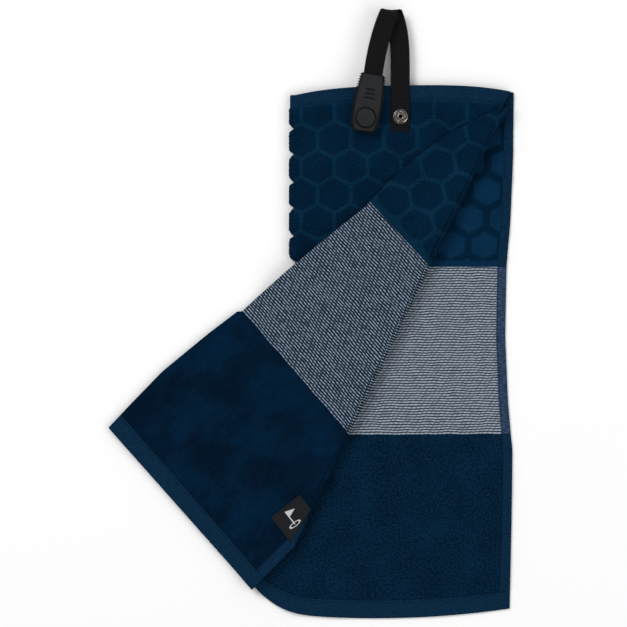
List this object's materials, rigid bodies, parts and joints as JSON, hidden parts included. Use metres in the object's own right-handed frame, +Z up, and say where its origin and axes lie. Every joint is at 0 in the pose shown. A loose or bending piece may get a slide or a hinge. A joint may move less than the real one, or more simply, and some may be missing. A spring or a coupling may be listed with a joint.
{
  "type": "golf towel",
  "caption": "Tri-fold cotton golf towel lying flat with its front layers turned back, with a webbing loop, moulded pull tab and snap.",
  "frame": {"origin": "centre of the towel's box, on the surface that it lies on", "axes": "+X to the towel's right, +Y along the towel towards its strap, +Z up out of the surface"},
  "size_m": [0.317, 0.4776, 0.0176],
  "materials": {
    "towel_cloth": "navy cotton, terry and sheared velour pile with a woven stripe band",
    "hem_cloth": "flat-woven navy hem, a little lighter than the pile",
    "sewing_thread": "navy polyester lockstitch",
    "black_thread": "black polyester thread",
    "label_weave": "black damask label with a plain white flag",
    "webbing": "black ribbed nylon webbing",
    "tab_rubber": "black moulded rubber with fine side ribs",
    "tab_plate": "dark grey matte moulding",
    "cap_plastic": "dark grey matte cap with a shallow ring groove",
    "snap_metal": "nickel-plated brass",
    "spring_steel": "spring wire"
  },
  "bodies": {
    "towel": {"rear_panel": "towel_cloth", "rear_top_hem": "hem_cloth", "rear_side_hem": "hem_cloth", "rear_bottom_hem": "hem_cloth", "inner_panel": "towel_cloth", "inner_top_hem": "hem_cloth", "inner_side_hem": "hem_cloth", "front_panel": "towel_cloth", "front_top_hem": "hem_cloth", "left_fold": "towel_cloth", "top_seam_thread": "sewing_thread", "rear_bottom_hem_thread": "sewing_thread", "rear_side_hem_thread": "sewing_thread", "strap_anchor_leg": "webbing", "strap_tack_thread": "black_thread", "snap_stud": "snap_metal", "snap_eyelet": "snap_metal"},
    "flap": {"flap_lining": "towel_cloth", "flap_face": "towel_cloth", "flap_lining_hem": "hem_cloth", "flap_bottom_hem": "hem_cloth", "flap_fold": "towel_cloth", "flap_side_hem": "hem_cloth", "flap_hem_thread": "sewing_thread", "woven_label": "label_weave", "label_thread": "black_thread"},
    "strap_bend": {"strap_loop": "webbing"},
    "strap_end": {"strap_free_leg": "webbing", "tab_body": "tab_rubber", "tab_plate": "tab_plate", "snap_cap": "cap_plastic", "cap_rivet": "snap_metal", "snap_socket": "snap_metal", "socket_spring": "spring_steel"}
  },
  "joints": [
    {"name": "flap_fold_over", "type": "hinge", "parent": "towel", "child": "flap", "pos_m": [0.15899, 0.17256, 0.00785], "axis": [0.4352, 0.9003, 0], "range_deg": [0, 180]},
    {"name": "strap_swing", "type": "hinge", "parent": "towel", "child": "strap_bend", "pos_m": [0.05289, 0.23586, 0.0079], "axis": [0, 0, 1], "range_deg": [0, 18.8]},
    {"name": "strap_lift", "type": "hinge", "parent": "strap_bend", "child": "strap_end", "pos_m": [0.06324, 0.23422, 0.01065], "axis": [-0.9976, 0.0698, 0], "range_deg": [-1.35, 100], "deforming": ["strap_loop"]}
  ]
}
